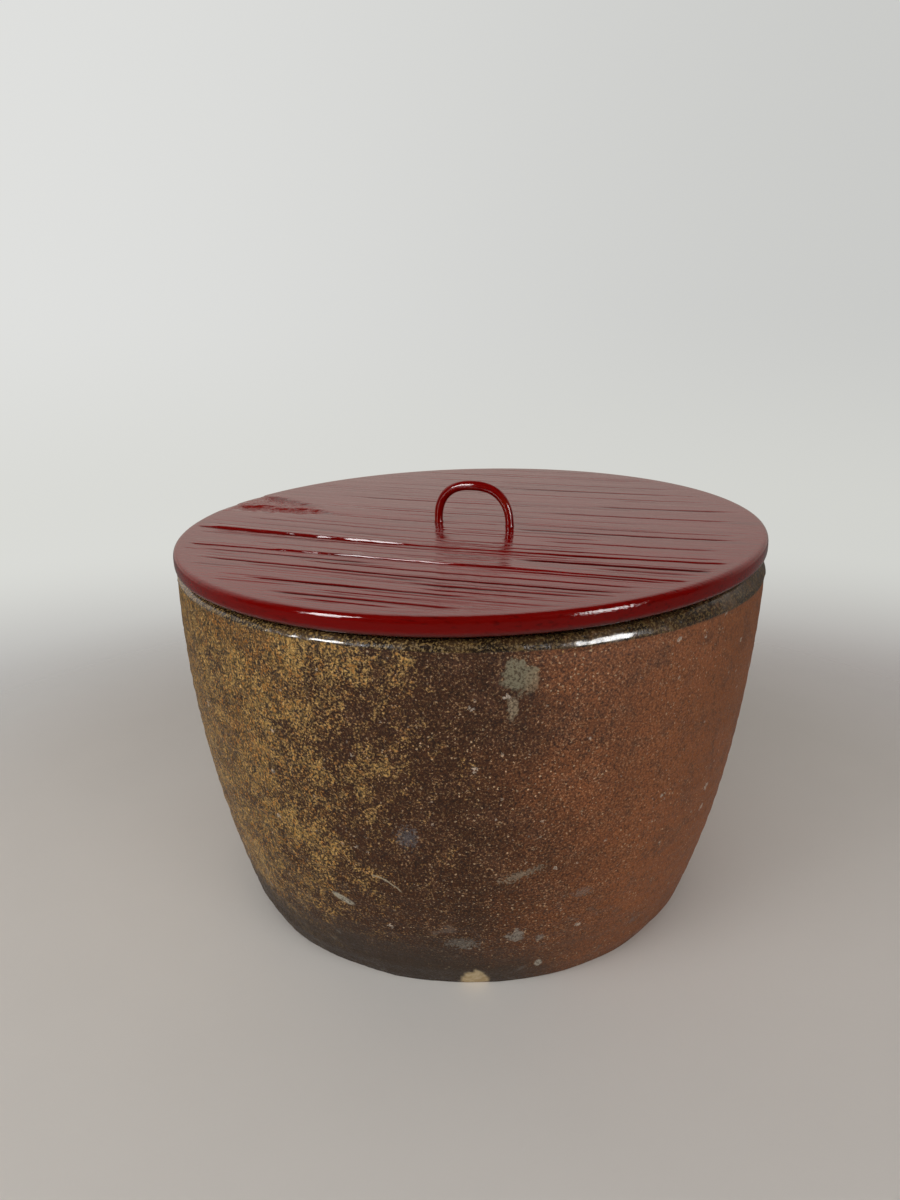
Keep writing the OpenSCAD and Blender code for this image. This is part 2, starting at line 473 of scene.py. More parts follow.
def lid_rows(flat_r, s):
    """Where the rows of the lid's top lie across the grain: even round the edge, and close at grooves."""
    turn = np.linspace(-math.pi / 2, math.pi / 2, 282)[1:-1]
    rows = list(flat_r * np.sin(turn))
    for line in grain_lines(s):
        if line[4] > 0.3 * s.groove_depth:
            rows += [line[0] + k * line[3] for k in (-1.5, -0.7, 0, 0.7, 1.5)]
    sharp = [(line + k) * MM for line, _, _, _ in LEDGES for k in LEDGE_ROWS]
    rows = np.sort(np.array(rows))
    keep = [rows[0]]
    for value in rows[1:]:
        room = 0.24 * MM if abs(value) < 0.97 * flat_r else 0.0
        clear = np.min(np.abs(np.array(sharp) - value)) > 0.2 * MM
        if value - keep[-1] >= room and abs(value) < flat_r and clear:
            keep.append(value)
    return np.sort(np.array(keep + sharp))


def lid_top(flat_r, s):
    """The lid's upper face as a grid whose rows run along the grain and end on a circle."""
    across = lid_rows(flat_r, s)
    ends = []
    for side in (-1, 1):
        reach = side * np.sqrt(np.maximum(flat_r**2 - across**2, 0))
        for _ in range(30):
            y = grain_run(reach, across)
            reach = 0.5 * reach + 0.5 * side * np.sqrt(np.maximum(flat_r**2 - y**2, 1e-10))
        ends.append(reach)
    length = (ends[1] - ends[0])[:, None]
    # Close columns at both ends, where the grain fades out, and even ones between
    shrink = np.clip(length / (14 * MM), 0, 1)
    near = np.array([0, 0.25, 0.6, 1.1, 1.8, 2.8])[None, :] * MM * shrink
    inner = near[:, -1:] + (length - 2 * near[:, -1:]) * np.linspace(0, 1, 96)[None, 1:-1]
    x = ends[0][:, None] + np.concatenate([near, inner, length - near[:, ::-1]], axis=1)
    rows = np.broadcast_to(across[:, None], x.shape)
    y = grain_run(x, rows)
    z = lid_height(x, rows, y, s)
    return np.stack([x, y, z], axis=-1), across


def build_lid(material):
    s = bpy.context.scene.lid_settings
    edge_w = 2.6 * MM
    # The lid stays a hair inside the frame's lid
    flat_r = LID_R - edge_w - 0.06 * MM
    top, across = lid_top(flat_r, s)
    rows, columns = top.shape[:2]
    vertices = [tuple(p) for p in top.reshape(-1, 3)]
    index = np.arange(rows * columns).reshape(rows, columns)
    quads = np.stack([index[:-1, :-1], index[:-1, 1:], index[1:, 1:], index[1:, :-1]], axis=-1)
    faces = quads.reshape(-1, 4).tolist()
    # The circle round the upper face, anticlockwise: the first row, right ends, last row, left ends
    circle = list(index[0, :]) + list(index[1:, -1]) + list(index[-1, -2::-1]) + list(index[-2:0:-1, 0])
    rim = top.reshape(-1, 3)[circle]
    turn = np.arctan2(rim[:, 1], rim[:, 0])
    # Rings below it: the round edge, the underside, the step and its flat face
    down = rim[:, 2]
    rings = []
    for t in np.linspace(0, math.pi, 17)[1:]:
        level = math.copysign(abs(math.cos(t)) ** 0.62, math.cos(t))
        fall = (1 - level) / 2
        out = flat_r + edge_w * max(math.sin(t), 0) ** 0.62
        rings.append((out, down * (1 - fall) ** 1.5 - LID_T * fall))
    step = LID_STEP_R
    profile = [(flat_r - 4 * MM, -LID_T), (step + 1.2 * MM, -LID_T), (step + 0.2 * MM, -LID_T - 0.1 * MM)]
    profile += [(step, -LID_T - 0.5 * MM), (step - 0.1 * MM, -LID_T - LID_STEP_T + 0.9 * MM)]
    bottom = -LID_T - LID_STEP_T
    for t in np.linspace(0.4, 1, 3):
        turned = math.sin(t * math.pi / 2)
        profile.append((step - 1 * MM * turned - 0.1 * MM, bottom + 0.9 * MM * (1 - turned)))
    profile += [(step * k, bottom) for k in (0.9, 0.6, 0.2)]
    rings += [(radius, np.full_like(down, z)) for radius, z in profile]
    previous = circle
    count = len(circle)
    for radius, z in rings:
        first = len(vertices)
        ring = np.stack([radius * np.cos(turn), radius * np.sin(turn), z], axis=-1)
        vertices += [tuple(p) for p in ring]
        now = list(range(first, first + count))
        for k in range(count):
            n = (k + 1) % count
            faces.append([previous[k], now[k], now[n], previous[n]])
        previous = now
    vertices.append((0, 0, bottom))
    centre = len(vertices) - 1
    faces += [[previous[(k + 1) % count], previous[k], centre] for k in range(count)]
    points = to_rim(np.array(vertices) + [0, 0, LID_T], GRAIN_TURN, LID_REST)
    mesh = bpy.data.meshes.new("lid")
    mesh.from_pydata(points.tolist(), [], faces)
    local = np.array(vertices)
    rows_across = np.zeros(len(vertices))
    rows_across[:rows * columns] = np.repeat(across, columns)
    upper = np.arange(len(vertices)) < rows * columns
    masks = {
        "hollow": hollow_mask(local[:, 0], rows_across) * upper,
        "relief": np.where(upper, local[:, 2] / s.groove_depth, 0.0),
        "below": smooth(local[:, 2], -4.5 * MM, -6 * MM),
    }
    for key, values in masks.items():
        mesh.attributes.new(key, "FLOAT", "POINT").data.foreach_set("value", values.astype(np.float32))
    mesh.shade_smooth()
    return place("lacquered_lid", mesh, "lid", material, "lid_board")


# ---------------------------------------------------------------- handle


def build_handle(material):
    s = bpy.context.scene.handle_settings
    top_z = 16.7 * MM - s.top_d / 2
    half_w = s.leg_gap / 2
    power = 2 / s.squareness
    turn = np.linspace(0, math.pi, 73)
    c, n = np.cos(turn), np.sin(turn)
    x = half_w * np.sign(c) * np.abs(c) ** power
    z = top_z * np.abs(n) ** power
    # Even steps along the rod, with a straight run down into each hole
    path = np.stack([x, 0.15 * MM * np.sin(turn * 2.3), z], axis=-1)
    leg = np.linspace(-3.0, -0.3, 5)[:, None] * [0, 0, MM]
    path = np.concatenate([path[0] + leg, path, (path[-1] + leg)[::-1]])
    step = np.linalg.norm(np.diff(path, axis=0), axis=1)
    gone = np.concatenate([[0], np.cumsum(step)])
    even = np.linspace(0, gone[-1], 150)
    path = np.stack([np.interp(even, gone, path[:, k]) for k in range(3)], axis=-1)
    for _ in range(3):
        path[1:-1] = (path[:-2] + 2 * path[1:-1] + path[2:]) / 4
    tangent = np.gradient(path, axis=0)
    tangent /= np.linalg.norm(tangent, axis=1)[:, None]
    side = np.array([0.0, 1.0, 0.0])
    up = np.cross(tangent, side)
    up /= np.linalg.norm(up, axis=1)[:, None]
    across = np.cross(up, tangent)
    share = np.clip(path[:, 2] / top_z, 0, 1)
    radius = (s.leg_d + (s.top_d - s.leg_d) * share**1.5) / 2
    # A small swell of lacquer where each leg meets the lid
    radius = radius + 0.16 * MM * bump(path[:, 2], 0.0, 0.5 * MM)
    around = ring_angles(28)[None, :, None]
    ring = np.cos(around) * up[:, None, :] + np.sin(around) * across[:, None, :]
    points = path[:, None, :] + ring * radius[:, None, None]
    points = points + ring * (0.05 * MM * field(points, 6 * MM, 2.5))[..., None]
    points = to_rim(points + [0, 0, LID_T], HANDLE_TURN, LID_REST, HANDLE_MIDDLE)
    ends = ((0, points[0].mean(axis=0)), (-1, points[-1].mean(axis=0)))
    mesh = grid_mesh("handle", points, True, caps=ends)
    return place("lacquered_loop", mesh, "lid", material, "loop_handle")


# ---------------------------------------------------------------- shader graphs


class Graph:
    """Adds nodes to one tree with short calls."""

    def __init__(self, tree):
        self.tree = tree

    def feed(self, socket, value):
        if isinstance(value, bpy.types.NodeSocket):
            self.tree.links.new(value, socket)
        elif value is not None:
            socket.default_value = value

    def add(self, kind, inputs=None, **settings):
        node = self.tree.nodes.new("ShaderNode" + kind)
        for key, value in settings.items():
            setattr(node, key, value)
        for key, value in (inputs or {}).items():
            self.feed(node.inputs[key], value)
        return node

    def math(self, operation, a, b=None):
        node = self.add("Math", operation=operation)
        for socket, value in zip(node.inputs, (a, b)):
            self.feed(socket, value)
        return node.outputs[0]

    def plus(self, *values):
        return functools.reduce(lambda a, b: self.math("ADD", a, b), values)

    def times(self, *values):
        return functools.reduce(lambda a, b: self.math("MULTIPLY", a, b), values)

    def minus(self, a, b):
        return self.math("SUBTRACT", a, b)

    def hypot(self, a, b):
        return self.math("SQRT", self.plus(self.times(a, a), self.times(b, b)))

    def range(self, value, low, high, to_low=0.0, to_high=1.0, soft=True):
        """value from low..high to to_low..to_high, held at the ends."""
        node = self.add("MapRange", interpolation_type="SMOOTHSTEP" if soft else "LINEAR")
        for key, number in zip(("Value", "From Min", "From Max", "To Min", "To Max"),
                               (value, low, high, to_low, to_high)):
            self.feed(node.inputs[key], number)
        return node.outputs[0]

    def blend(self, share, a, b, mode="MIX"):
        node = self.add("Mix", data_type="RGBA", blend_type=mode, clamp_factor=True)
        sockets = [i for i in node.inputs if i.enabled]
        for socket, value in zip(sockets, (share, a, b)):
            if isinstance(value, (tuple, list)) or hasattr(value, "r"):
                value = (*tuple(value)[:3], 1.0)
            self.feed(socket, value)
        return [o for o in node.outputs if o.enabled][0]

    def over(self, under, tint, *shares):
        """A tint laid over a colour, as strongly as the product of the shares."""
        return self.blend(self.times(*shares), under, tint)

    def noise(self, where, scale, detail=3.0, rough=0.55, distort=0.0):
        """Fractal noise whose lumps are about scale metres across, from 0 to 1."""
        inputs = {"Scale": 1 / scale, "Detail": detail, "Roughness": rough, "Distortion": distort}
        return self.add("TexNoise", {"Vector": where, **inputs}).outputs["Fac"]

    def stretch(self, where, x, y, z, turn=0.0):
        node = self.add("Mapping", {"Vector": where}, vector_type="TEXTURE")
        node.inputs["Scale"].default_value = (x, y, z)
        node.inputs["Rotation"].default_value = (0, 0, turn)
        return node.outputs[0]

    def spin(self, where, turn):
        """A place turned about the z axis."""
        return self.add("VectorRotate", {"Vector": where, "Angle": turn}, rotation_type="Z_AXIS").outputs[0]

    def swing(self, value, amount):
        """Noise as a push either way, by up to half of amount."""
        return self.times(self.minus(value, 0.5), amount)

    def mask(self, name):
        """A mask that the mesh carries."""
        return self.add("Attribute", attribute_name=name, attribute_type="GEOMETRY").outputs["Fac"]

    def bumps(self, height, distance, strength):
        return self.add("Bump", {"Height": height, "Distance": distance, "Strength": strength}).outputs[0]


def new_group(name, inputs, outputs):
    """An empty node group with these sockets, the nodes of its inputs and outputs, and its graph."""
    tree = bpy.data.node_groups.new(name, "ShaderNodeTree")
    for key, (kind, value) in inputs.items():
        socket = tree.interface.new_socket(key, in_out="INPUT", socket_type="NodeSocket" + kind)
        if value is not None:
            socket.default_value = value
    for key, kind in outputs.items():
        tree.interface.new_socket(key, in_out="OUTPUT", socket_type="NodeSocket" + kind)
    start = tree.nodes.new("NodeGroupInput")
    end = tree.nodes.new("NodeGroupOutput")
    return Graph(tree), start.outputs, end.inputs


def use_group(graph, name, inputs):
    node = graph.add("Group", node_tree=bpy.data.node_groups[name])
    for key, value in inputs.items():
        graph.feed(node.inputs[key], value)
    return node.outputs


def make_patch_group():
    """A ragged patch on the jar's wall, at an angle round from the front and a height."""
    g, start, end = new_group(
        "ragged patch",
        {"Angle": ("Float", 0.0), "Height": ("Float", 0.0), "Around": ("Float", 0.0), "Up": ("Float", 0.0),
         "Width": ("Float", 0.01), "Tall": ("Float", 0.01), "Lean": ("Float", 0.0),
         "Ragged": ("Float", 0.5), "Noise": ("Float", 0.5)},
        {"Mask": "Float"},
    )
    across = g.times(g.minus(start["Angle"], start["Around"]), PER_RADIAN)
    up = g.minus(start["Height"], start["Up"])
    up = g.plus(up, g.times(across, start["Lean"]))
    x = g.math("DIVIDE", across, start["Width"])
    y = g.math("DIVIDE", up, start["Tall"])
    far = g.hypot(x, y)
    wild = g.times(g.minus(start["Noise"], 0.5), start["Ragged"], 4.0)
    g.feed(end["Mask"], g.range(g.plus(far, wild), 1.2, 0.7))


def make_grit_group():
    """The grain of fired clay: fine light grit, sparse pale stones, and the height of both."""
    g, start, end = new_group(
        "fired clay grit",
        {"Vector": ("Vector", None), "Fine": ("Float", 0.0009), "Stone": ("Float", 0.005),
         "Share": ("Float", 0.5)},
        {"Grit": "Float", "Stones": "Float", "Height": "Float"},
    )
    rough = g.add("TexNoise", {"Vector": start["Vector"], "Detail": 1.0})
    g.feed(rough.inputs["Scale"], g.math("DIVIDE", 2.5, start["Fine"]))
    uneven = rough.outputs["Fac"]

    def dots(spacing, low, size, soft):
        """Round dots in the share of the cells above low, up to this size."""
        cells = g.add("TexVoronoi", {"Vector": start["Vector"]}, feature="F1")
        g.feed(cells.inputs["Scale"], g.math("DIVIDE", 1.0, spacing))
        pick = g.add("SeparateColor", {"Color": cells.outputs["Color"]})
        width = g.range(pick.outputs[0], low, 1.0, 0.0, size, soft=False)
        width = g.times(width, g.range(uneven, 0.3, 0.7, 0.4, 1.6, soft=False))
        return g.range(g.minus(width, cells.outputs["Distance"]), 0.0, soft)

    grit = dots(start["Fine"], g.minus(1.0, start["Share"]), 0.34, 0.10)
    stone = dots(start["Stone"], 0.45, 0.15, 0.04)
    fine = g.add("TexNoise", {"Vector": start["Vector"], "Detail": 2.0, "Roughness": 0.65})
    g.feed(fine.inputs["Scale"], g.math("DIVIDE", 1.0, start["Fine"]))
    height = g.plus(g.times(fine.outputs["Fac"], 0.6), g.times(stone, 0.5))
    height = g.plus(height, g.times(grit, 0.35))
    g.feed(end["Grit"], grit)
    g.feed(end["Stones"], stone)
    g.feed(end["Height"], height)


def make_lacquer_group():
    """Brushed lacquer: slow swells, faint brush lines and a few specks of dust under the gloss."""
    g, start, end = new_group(
        "brushed lacquer",
        {"Vector": ("Vector", None), "Turn": ("Float", 0.0), "Dust": ("Float", 0.006)},
        {"Height": "Float", "Dust": "Float", "Shade": "Float"},
    )
    where = g.spin(start["Vector"], start["Turn"])
    swell = g.noise(where, 7 * MM, 2.0)
    brush = g.noise(g.stretch(where, 14, 1, 1), 1.6 * MM, 3.0, 0.6)
    specks = g.add("TexVoronoi", {"Vector": where}, feature="F1")
    g.feed(specks.inputs["Scale"], g.math("DIVIDE", 1.0, start["Dust"]))
    pick = g.add("SeparateColor", {"Color": specks.outputs["Color"]})
    size = g.range(pick.outputs[0], 0.7, 1.0, 0.0, 0.05, soft=False)
    dust = g.range(g.minus(size, specks.outputs["Distance"]), 0.0, 0.02)
    height = g.plus(g.times(swell, 0.5), g.times(brush, 0.25))
    g.feed(end["Height"], g.plus(height, g.times(dust, 0.4)))
    g.feed(end["Dust"], dust)
    g.feed(end["Shade"], g.noise(where, 22 * MM, 3.0))


def new_material(name):
    """A material with a lone shader, and its graph."""
    material = bpy.data.materials.new(name)
    material.use_nodes = True
    tree = material.node_tree
    tree.nodes.clear()
    g = Graph(tree)
    shader = g.add("BsdfPrincipled")
    out = g.add("OutputMaterial")
    tree.links.new(shader.outputs[0], out.inputs["Surface"])
    return material, g, shader


def jar_patterns(g):
    """What the jar's colours are made from: places, noises from big to sand, and grit of two sizes."""
    where = g.add("TexCoord").outputs["Object"]
    x, y, z = g.add("SeparateXYZ", {"Vector": where}).outputs
    reach = g.hypot(x, y)

    def facing(degrees):
        """How far each point faces a direction round from the front, from -1 to 1."""
        a = math.radians(degrees)
        along = g.plus(g.times(x, math.sin(a)), g.times(y, -math.cos(a)))
        return g.math("DIVIDE", along, reach)

    def grit_of(fine, stone, share):
        inputs = {"Vector": where, "Fine": fine * MM, "Stone": stone * MM, "Share": share}
        return use_group(g, "fired clay grit", inputs)

    return SimpleNamespace(
        where=where, z=z, angle=g.math("ARCTAN2", x, g.times(y, -1.0)),
        big=g.noise(where, 28 * MM, 5.0, 0.62), middle=g.noise(where, 9 * MM, 5.0, 0.65, 0.3),
        small=g.noise(where, 2.6 * MM, 4.0, 0.65), tiny=g.noise(where, 0.85 * MM, 2.0, 0.6),
        sand=g.noise(where, 0.7 * MM, 3.0, 0.75),
        grit=grit_of(1.15, 4.2, 0.6), coarse=grit_of(1.9, 9, 0.35),
        to_ash=facing(-72), to_red=facing(72),
    )


def clay_colour(g, p, s):
    """Clay under the ash, from dark at the front to iron red away from the fire, and how red it is."""
    red_share = g.range(g.plus(p.to_red, g.swing(p.big, 0.45), g.swing(p.middle, 0.2)), 0.27, 0.80)
    clay = g.blend(red_share, s.dark_clay, s.red_clay)
    warm = g.times(g.range(p.big, 0.50, 0.64), g.range(p.z, 0.05, 0.10))
    warm = g.times(warm, g.range(p.angle, 0.25, 0.6))
    clay = g.over(clay, (0.36, 0.115, 0.040), warm, 0.6)
    clay = g.over(clay, (0.125, 0.052, 0.026), g.range(p.middle, 0.50, 0.64), 0.45)
    clay = g.over(clay, (0.045, 0.022, 0.010), g.range(p.small, 0.52, 0.66), 0.35)
    return clay, red_share


def ash_colour(g, p, s):
    """Ash: gold where it lies thick, brown where it is thin, with dark pits and rust-coloured runs."""
    gold_here = g.plus(p.middle, g.swing(p.tiny, 0.9), g.swing(p.sand, 0.8))
    golden = g.blend(g.range(gold_here, 0.38, 0.66), s.brown_ash, s.gold_ash)
    rust = g.times(g.range(g.plus(p.big, g.swing(p.small, 0.5)), 0.50, 0.64), g.range(p.z, 0.06, 0.11))
    rust = g.times(rust, g.range(p.angle, -0.35, -0.8))
    golden = g.over(golden, (0.27, 0.105, 0.020), rust, 0.6)
    deep = g.plus(g.times(p.small, 0.5), g.times(p.tiny, 0.3), g.times(p.sand, 0.2))
    pits = g.range(deep, 0.50, 0.44)
    golden = g.over(golden, (0.060, 0.036, 0.016), pits, 0.80)
    golden = g.over(golden, (0.60, 0.40, 0.15), g.range(p.sand, 0.56, 0.66), 0.55)
    runs = g.noise(g.stretch(p.where, 1, 1, 3.0), 1.5 * MM, 4.0, 0.65)
    golden = g.over(golden, (0.085, 0.050, 0.016), g.range(runs, 0.50, 0.42), 0.6)
    orange = g.range(g.noise(p.where, 1.7 * MM, 3.0, 0.65), 0.54, 0.64)
    golden = g.over(golden, (0.34, 0.125, 0.016), orange, 0.65)
    return golden


def add_grit(g, p, colour, ash):
    """Light grit and pale stones on the bare clay, thickest at the front."""
    bare = g.minus(1.0, g.times(ash, 0.75))
    centre = g.range(g.math("ABSOLUTE", g.minus(p.angle, 0.05)), 1.25, 0.15, 0.22, 1.0)
    dusty = g.times(g.range(p.sand, 0.565, 0.64), g.range(p.middle, 0.35, 0.60, 0.45, 1.0))
    colour = g.over(colour, (0.38, 0.24, 0.12), dusty, bare, centre, 0.62)
    colour = g.over(colour, (0.030, 0.014, 0.007), g.range(p.sand, 0.44, 0.36), centre, 0.5)
    flecks = g.times(p.grit["Grit"], bare, centre)
    colour = g.over(colour, (0.60, 0.42, 0.24), flecks, g.range(p.big, 0.35, 0.60, 0.3, 1.0))
    colour = g.over(colour, (0.50, 0.39, 0.28), p.grit["Stones"], 0.6)
    colour = g.over(colour, (0.56, 0.47, 0.37), p.coarse["Stones"], 0.7)
    # Every grain of the clay is a little lighter or darker than the next, least on the iron-red side
    grain = g.range(g.plus(g.times(p.sand, 0.6), g.times(p.tiny, 0.4)), 0.40, 0.60, 0.35, 1.75, soft=False)
    colour = g.blend(g.range(p.to_red, 0.45, 0.95, 1.0, 0.40), colour, grain, "MULTIPLY")
    return colour


def add_base(g, p, colour, s):
    """The base: greyer and darker, with pale blotches."""
    base = g.range(g.plus(p.z, g.swing(p.big, 0.03)), 0.034, 0.008)
    base = g.times(base, g.range(p.to_red, 0.8, 0.4, 0.25, 0.9))
    colour = g.over(colour, s.base_clay, base)
    blotch = g.times(g.range(p.middle, 0.60, 0.68), g.range(p.z, 0.05, 0.025))
    colour = g.over(colour, (0.26, 0.235, 0.20), blotch, 0.30)
    return colour


# Pale patches on the wall: degrees round from the front, height above the base, half width and half height
# in millimetres, colour, share, raggedness, lean, and the noise that tears the edge
PATCHES = (
    (6.5, 128.5, 4.2, 5.2, (0.26, 0.23, 0.145), 0.95, 0.6, 0.0, "small"),
    (8.6, 126.0, 2.0, 3.6, (0.33, 0.25, 0.15), 0.6, 0.7, 0.0, "small"),
    (5.6, 118.0, 1.3, 4.0, (0.42, 0.33, 0.21), 0.8, 0.6, 0.0, "small"),
    (-11.6, 71.5, 3.2, 3.8, (0.2, 0.21, 0.23), 0.45, 1.0, 0.0, "tiny"),
    (-26.7, 39.2, 4.2, 1.6, (0.5, 0.46, 0.36), 0.95, 0.15, 0.35, "small"),
    (8.7, 27.6, 3.2, 3.0, (0.34, 0.32, 0.27), 0.75, 0.7, 0.0, "small"),
    (14.2, 25.4, 1.8, 1.7, (0.32, 0.29, 0.24), 0.65, 0.6, 0.0, "small"),
    (-2.2, 24.6, 5.6, 2.6, (0.26, 0.245, 0.205), 0.6, 1.0, 0.0, "tiny"),
    (8.2, 57.0, 6.0, 1.7, (0.36, 0.29, 0.2), 0.65, 1.1, -0.35, "tiny"),
    (21.0, 45.0, 3.4, 2.0, (0.27, 0.23, 0.19), 0.5, 1.0, 0.0, "tiny"),
    (15.5, 10.2, 1.7, 1.7, (0.46, 0.43, 0.35), 0.8, 0.3, 0.0, "small"),
)


def add_patches(g, p, colour):
    """The pale patches, and a thin curl of pale clay."""
    worn = g.range(g.plus(p.sand, g.swing(p.tiny, 0.6)), 0.36, 0.54, 0.25, 1.0)
    for around, up, width, tall, tint, share, ragged, lean, noise_name in PATCHES:
        sockets = {
            "Angle": p.angle, "Height": p.z, "Around": math.radians(around), "Up": up * MM,
            "Width": width * MM, "Tall": tall * MM, "Lean": lean, "Ragged": ragged,
            "Noise": getattr(p, noise_name),
        }
        colour = g.over(colour, tint, use_group(g, "ragged patch", sockets)["Mask"], worn, share)
    along = g.times(g.plus(p.angle, math.radians(16.3)), PER_RADIAN)
    bend = g.plus(g.times(along, along, -60.0), g.times(along, -0.55))
    off = g.plus(g.minus(g.minus(p.z, 52.5 * MM), bend), g.swing(p.small, 1.2 * MM))
    line = g.range(g.math("ABSOLUTE", off), 0.55 * MM, 0.2 * MM)
    ends = g.range(g.math("ABSOLUTE", along), 5.2 * MM, 4.2 * MM)
    return g.over(colour, (0.50, 0.42, 0.28), line, ends, 0.8)


def lip_colours(g, p):
    """Ash that has run to a dark glass with gold flecks."""
    fleck = g.range(g.plus(g.times(p.tiny, 0.6), g.times(p.sand, 0.4)), 0.49, 0.58)
    gold_side = g.range(p.to_red, 0.50, 0.0, 0.35, 0.9)
    lip_colour = g.blend(g.range(p.middle, 0.40, 0.62), (0.020, 0.012, 0.006), (0.070, 0.038, 0.016))
    lip_colour = g.over(lip_colour, (0.38, 0.24, 0.08), fleck, gold_side)
    lip_colour = g.over(lip_colour, (0.30, 0.22, 0.14), g.range(p.sand, 0.58, 0.66), 0.5)
    return lip_colour


def add_bare_places(g, p, colour, lip):
    """Brown clay under thin ash inside, bare clay on the underside, and fresh clay in the chip."""
    inner = g.blend(g.range(p.big, 0.35, 0.65), (0.10, 0.055, 0.032), (0.155, 0.085, 0.045))
    inner = g.over(inner, (0.26, 0.18, 0.11), p.grit["Grit"], 0.4)
    inner = g.over(inner, (0.40, 0.33, 0.25), p.coarse["Stones"], 0.5)
    colour = g.over(colour, inner, g.mask("inside"), g.minus(1.0, lip))
    bare_clay = g.blend(g.range(p.middle, 0.4, 0.65), (0.19, 0.115, 0.07), (0.27, 0.165, 0.10))
    bare_clay = g.over(bare_clay, (0.36, 0.27, 0.19), p.grit["Grit"], 0.4)
    colour = g.over(colour, bare_clay, g.mask("under"))
    fresh = g.blend(g.range(p.small, 0.35, 0.65), (0.50, 0.36, 0.19), (0.66, 0.53, 0.33))
    return g.over(colour, fresh, g.mask("chip"))


def jar_material():
    """Stoneware from a wood kiln: ash on the left, iron red on the right, dark clay between."""
    s = bpy.context.scene.jar_settings
    material, g, shader = new_material("wood_fired_stoneware")
    p = jar_patterns(g)
    # How far the ash reached: it settled on the side that faces the fire, and on the upper wall
    low = g.range(p.z, 0.005, 0.050, -0.30, 0.0)
    high = g.range(p.z, 0.095, 0.135, 0.0, 0.16)
    loose = g.plus(g.swing(p.big, 1.0), g.swing(p.middle, 1.3), g.swing(p.small, 1.3))
    loose = g.plus(loose, g.swing(p.tiny, 0.7), g.swing(p.sand, 0.7))
    reached = g.plus(g.times(p.to_ash, 1.3), loose, low, high)
    ash = g.range(reached, 0.74, 1.04)
    thick_ash = g.range(g.plus(reached, g.swing(p.tiny, 0.9)), 0.82, 1.25)
    clay, red_share = clay_colour(g, p, s)
    ragged_ash = g.range(g.plus(reached, g.swing(p.sand, 0.9)), 0.72, 1.06)
    cover = g.times(ragged_ash, g.range(thick_ash, 0.0, 1.0, 0.45, 1.0))
    colour = g.blend(cover, clay, ash_colour(g, p, s))
    colour = add_grit(g, p, colour, ash)
    colour = add_base(g, p, colour, s)
    colour = add_patches(g, p, colour)

    # The lip is glass, which is thinner round the left and shines least round the right
    glassy = g.range(p.angle, -1.5, -0.8, 0.4, 1.0)
    lip = g.times(g.mask("lip"), g.range(p.small, 0.25, 0.5, 0.7, 1.0))
    colour = g.over(colour, lip_colours(g, p), lip, glassy)
    g.feed(shader.inputs["Base Color"], add_bare_places(g, p, colour, lip))
    shine = g.times(lip, g.range(p.angle, 1.05, 0.65, 0.1, 1.0))
    coat = g.times(shine, g.range(p.small, 0.3, 0.6, 0.4, 1.0), glassy)
    g.feed(shader.inputs["Coat Weight"], coat)
    shader.inputs["Coat Roughness"].default_value = 0.16

    rough = g.range(p.tiny, 0.35, 0.65, 0.42, 0.62)
    rough = g.minus(rough, g.times(ash, 0.06))
    rough = g.plus(rough, g.times(red_share, 0.10))
    rough = g.times(rough, g.range(shine, 0.0, 1.0, 1.0, 0.36))
    rough = g.plus(rough, g.times(g.math("MAXIMUM", g.mask("chip"), g.mask("under")), 0.3))
    g.feed(shader.inputs["Roughness"], rough)

    height = g.plus(p.grit["Height"], g.times(p.small, 0.8), g.times(p.sand, 0.7))
    height = g.plus(height, g.times(thick_ash, ash, 0.4))
    strength = g.range(red_share, 0.0, 1.0, 0.95, 0.5)
    strength = g.times(strength, g.range(lip, 0.0, 1.0, 1.0, 0.55))
    g.feed(shader.inputs["Normal"], g.bumps(height, 0.32 * MM, strength))
    shader.inputs["Specular IOR Level"].default_value = 0.22
    return material


def lid_material():
    """Deep red lacquer over brushed-out grain: dark where it lies thick in a groove, lighter in the hollow."""
    s = bpy.context.scene.lid_settings
    material, g, shader = new_material("red_lacquer_on_grain")
    where = g.add("TexCoord").outputs["Object"]
    film = use_group(g, "brushed lacquer", {"Vector": where, "Turn": -GRAIN_TURN, "Dust": 9 * MM})
    turned = g.spin(where, -GRAIN_TURN)
    streaks = g.noise(g.stretch(turned, 30, 1, 1), 1.5 * MM, 4.0, 0.6)
    wide = g.noise(g.stretch(turned, 9, 1, 1), 9 * MM, 3.0, 0.6)
    deep = g.range(g.mask("relief"), -0.1, -1.0)
    deep = g.math("MAXIMUM", deep, g.times(g.range(streaks, 0.56, 0.66), 0.5))
    tint = g.blend(g.times(g.range(wide, 0.35, 0.7), 0.5), s.lacquer, (0.15, 0.004, 0.002))
    tint = g.over(tint, s.lacquer_deep, deep)
    tint = g.over(tint, (0.27, 0.010, 0.006), g.mask("hollow"), 0.8)
    tint = g.over(tint, (0.35, 0.10, 0.07), film["Dust"], 0.5)
    tint = g.over(tint, (0.10, 0.004, 0.002), g.mask("below"))
    g.feed(shader.inputs["Base Color"], tint)
    g.feed(shader.inputs["Roughness"], g.range(film["Shade"], 0.3, 0.7, 0.05, 0.09))
    ribs = g.noise(g.stretch(turned, 40, 1, 1), 0.9 * MM, 3.0, 0.55)
    chatter = g.noise(g.stretch(turned, 3, 1, 1), 1.1 * MM, 2.0, 0.5)
    height = g.plus(g.times(ribs, 1.15), g.times(film["Height"], 0.5))
    height = g.plus(height, g.times(chatter, 0.25))
    knot = g.times(g.noise(g.stretch(turned, 2.2, 1, 1), 1.4 * MM, 2.0), g.mask("hollow"))
    height = g.plus(height, g.times(knot, 9.0))
    g.feed(shader.inputs["Normal"], g.bumps(height, 0.11 * MM, 0.8))
    shader.inputs["IOR"].default_value = 1.37
    return material


